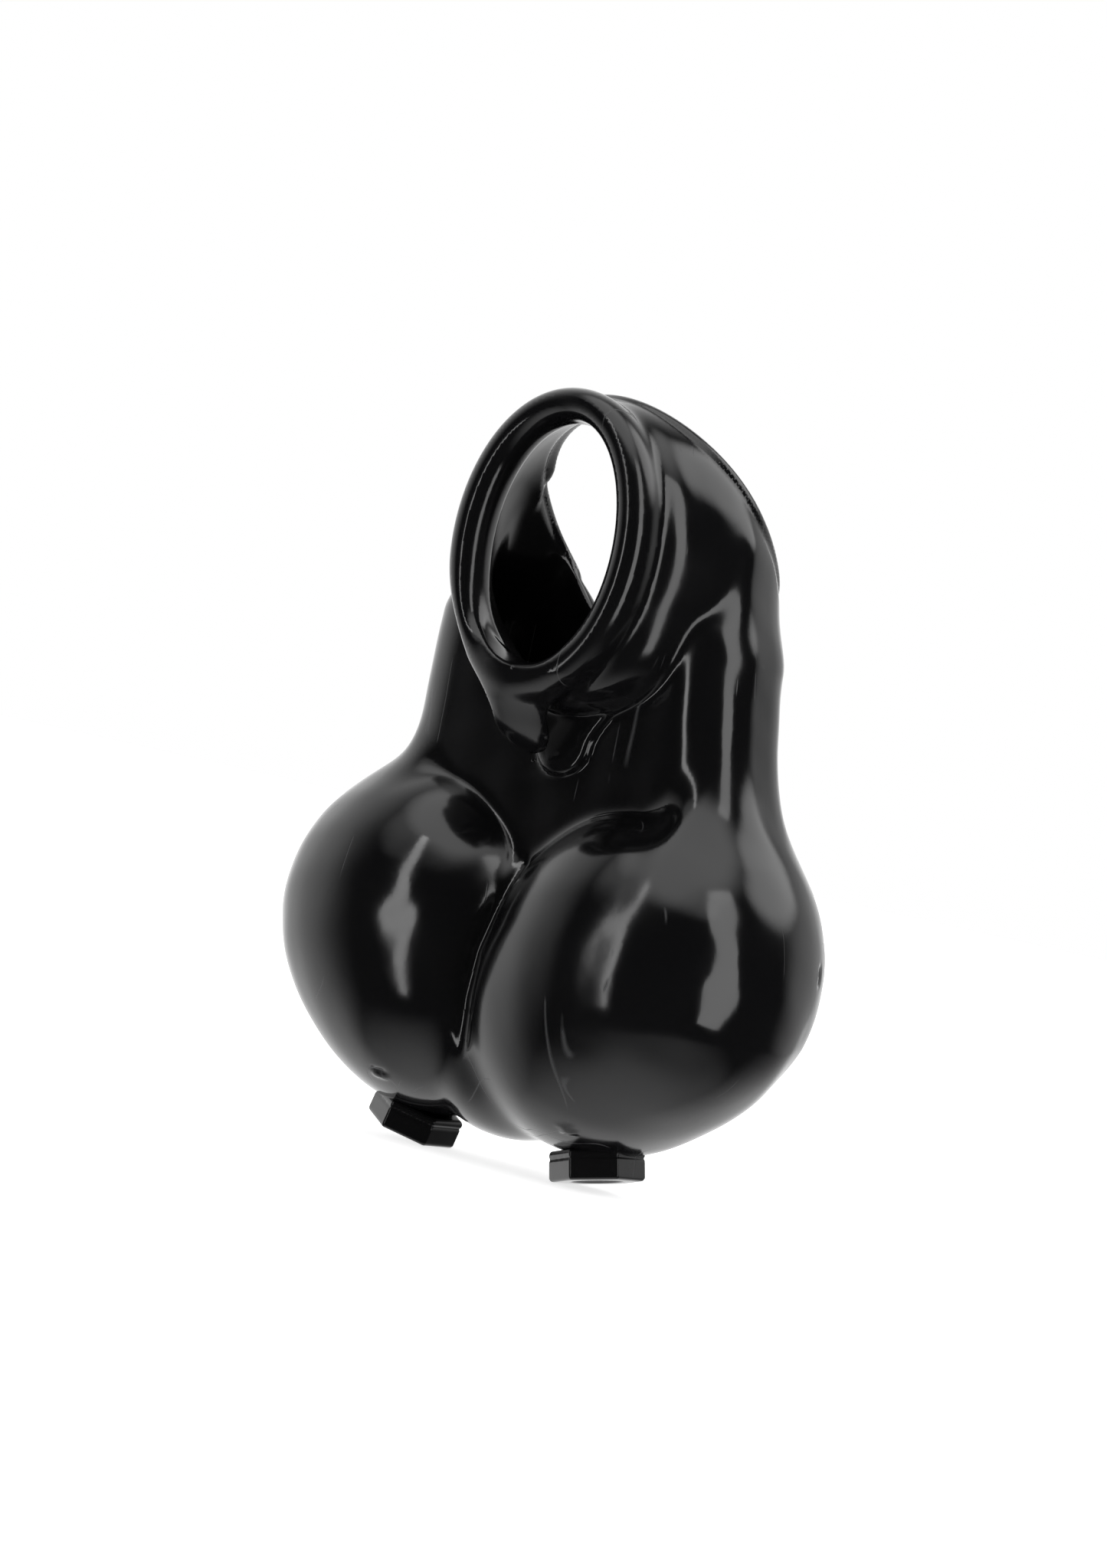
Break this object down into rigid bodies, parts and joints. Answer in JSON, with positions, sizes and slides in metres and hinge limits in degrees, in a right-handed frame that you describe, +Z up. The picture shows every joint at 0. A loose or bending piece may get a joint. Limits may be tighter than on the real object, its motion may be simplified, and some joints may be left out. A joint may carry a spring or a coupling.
{
  "type": "soft ring sleeve",
  "caption": "Soft moulded black ring sleeve: an oval front ring on a short open-backed hood, a flat neck and a hollow two-lobed pouch with hex-headed plugs underneath.",
  "frame": {"origin": "middle of the bounding box's underside, level with the plugs' lowest edges", "axes": "+Z up from the plugs to the ring, -Y the way the front ring faces, X across the lobes"},
  "size_m": [0.0858, 0.0468, 0.1112],
  "materials": {
    "elastomer": "gloss",
    "plug_elastomer": "gloss"
  },
  "bodies": {
    "sleeve": {"sleeve": "elastomer"},
    "plug_left": {"hex_plug_left": "plug_elastomer"},
    "plug_right": {"hex_plug_right": "plug_elastomer"}
  },
  "joints": [
    {"name": "plug_left_pull", "type": "slide", "parent": "sleeve", "child": "plug_left", "axis": [-0.2588, 0, -0.9659], "range_m": [0, 0.006]},
    {"name": "plug_right_pull", "type": "slide", "parent": "sleeve", "child": "plug_right", "axis": [0.2588, 0, -0.9659], "range_m": [0, 0.006]}
  ]
}
